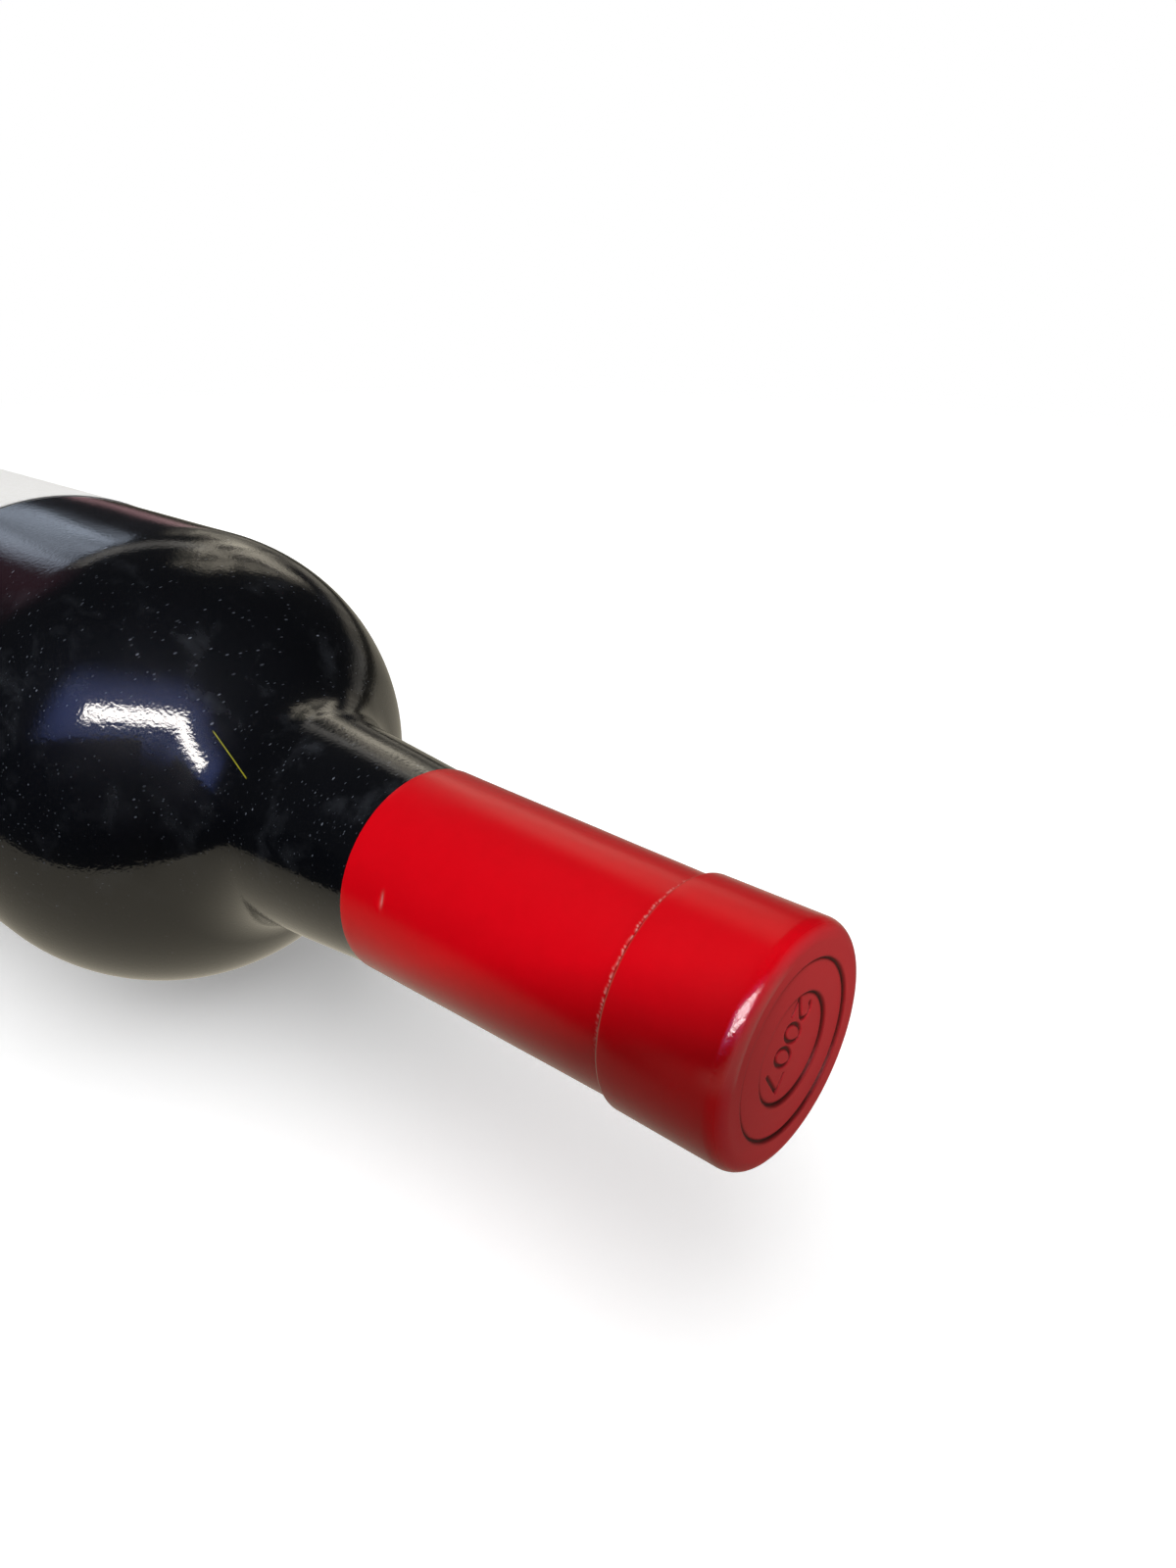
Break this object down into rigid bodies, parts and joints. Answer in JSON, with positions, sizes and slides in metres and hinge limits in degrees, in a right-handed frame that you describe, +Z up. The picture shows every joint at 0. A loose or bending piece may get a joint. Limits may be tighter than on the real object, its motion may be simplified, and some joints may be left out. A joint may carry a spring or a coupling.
{
  "type": "wine bottle",
  "caption": "Shut claret-style wine bottle lying on its side, dark glass with rounded shoulder and straight neck, red foil capsule with ringed end face, blank paper label.",
  "frame": {"origin": "centre of the bounding box's bottom, on the flat strip that the lying body rests on", "axes": "+X along the bottle's axis from base to capsule, +Z up, -Y towards the side that the camera sees"},
  "size_m": [0.3, 0.0764, 0.0765],
  "materials": {
    "bottle_glass": "dark green glass full of red wine, so near-black and opaque, polished, a little dusty",
    "capsule_foil": "satin red lacquer on tin foil",
    "label_paper": "uncoated white paper, blank"
  },
  "bodies": {
    "root": {"bottle": "bottle_glass", "capsule": "capsule_foil", "label": "label_paper"}
  },
  "joints": []
}
